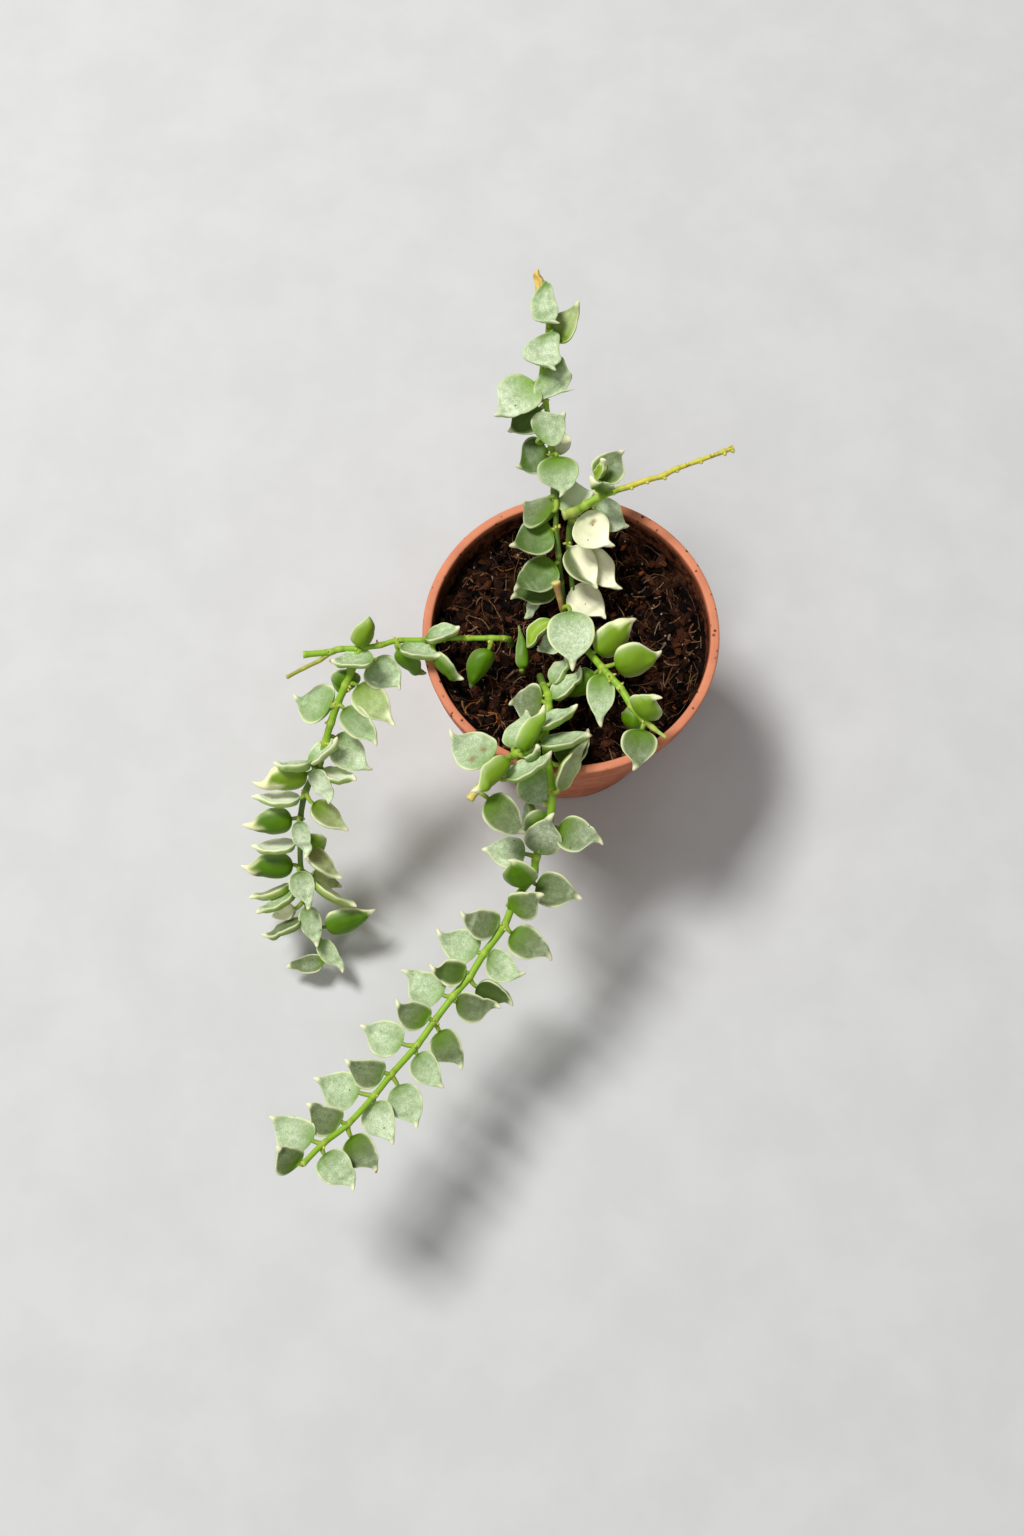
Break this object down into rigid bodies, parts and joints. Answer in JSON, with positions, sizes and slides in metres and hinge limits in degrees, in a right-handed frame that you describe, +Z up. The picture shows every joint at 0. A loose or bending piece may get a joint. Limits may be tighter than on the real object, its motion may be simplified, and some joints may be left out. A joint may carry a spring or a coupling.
{
  "type": "potted dischidia",
  "caption": "Trailing dischidia with small, thick, pointed, pale-edged leaves in pairs, growing over the rim of a round thin-walled nursery pot",
  "frame": {"origin": "centre of the pot's flat base, on the surface that it stands on", "axes": "+Z up along the pot's axis; the long trail runs towards -Y, the stem that rises over the back of the rim towards +Y, +X to the right seen from the front"},
  "size_m": [0.1513, 0.2587, 0.1236],
  "materials": {
    "pot_plastic": "terracotta-coloured plastic with a dull sheen and small dark pits along the rim",
    "potting_mix": null,
    "leaf": null
  },
  "bodies": {
    "root": {"pot": "pot_plastic", "soil": "potting_mix", "stem_back": "leaf", "stem_cream": "leaf", "stem_right": "leaf", "trail_front": "leaf", "trail_left": "leaf", "sprout_left": "leaf"}
  },
  "joints": []
}
